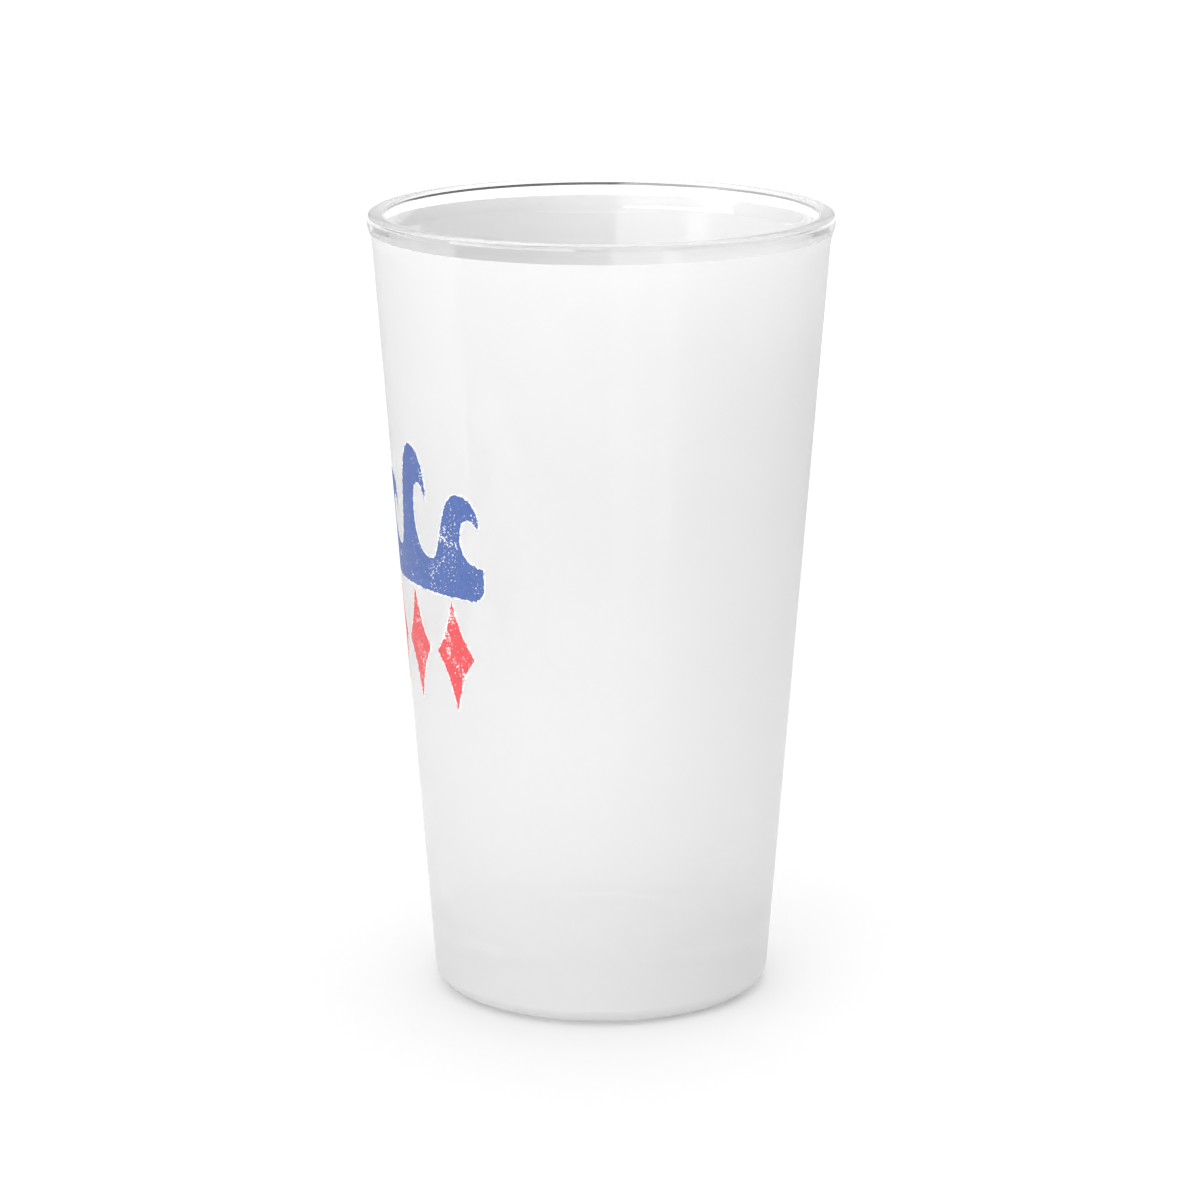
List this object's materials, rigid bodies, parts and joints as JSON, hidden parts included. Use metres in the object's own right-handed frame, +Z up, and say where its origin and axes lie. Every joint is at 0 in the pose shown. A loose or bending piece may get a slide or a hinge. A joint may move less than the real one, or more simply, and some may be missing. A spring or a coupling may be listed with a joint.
{
  "type": "pint glass",
  "caption": "Tapered frosted pint glass with a clear rounded rim, a thick base and a printed border of blue waves over red lozenges.",
  "frame": {"origin": "on the glass's axis, in the plane of its foot", "axes": "+Z up along the axis of the glass; the middle of the print faces -Y"},
  "size_m": [0.088, 0.088, 0.1505],
  "materials": {
    "clear_glass": "clear soda-lime glass, fire-polished",
    "frosted_coating": "matt white translucent frosting",
    "white_ink": "opaque white printing ink, satin",
    "blue_ink": "blue printing ink, satin, worn with fine white specks",
    "red_ink": "red printing ink, satin, worn with fine white specks"
  },
  "bodies": {
    "root": {"glass_tumbler": "clear_glass", "frosted_coating": "frosted_coating", "wave_underbase": "white_ink", "wave_ink": "blue_ink", "lozenge_underbase_1": "white_ink", "lozenge_underbase_2": "white_ink", "lozenge_underbase_3": "white_ink", "lozenge_underbase_4": "white_ink", "lozenge_underbase_5": "white_ink", "lozenge_underbase_6": "white_ink", "lozenge_ink_1": "red_ink", "lozenge_ink_2": "red_ink", "lozenge_ink_3": "red_ink", "lozenge_ink_4": "red_ink", "lozenge_ink_5": "red_ink", "lozenge_ink_6": "red_ink"}
  },
  "joints": []
}
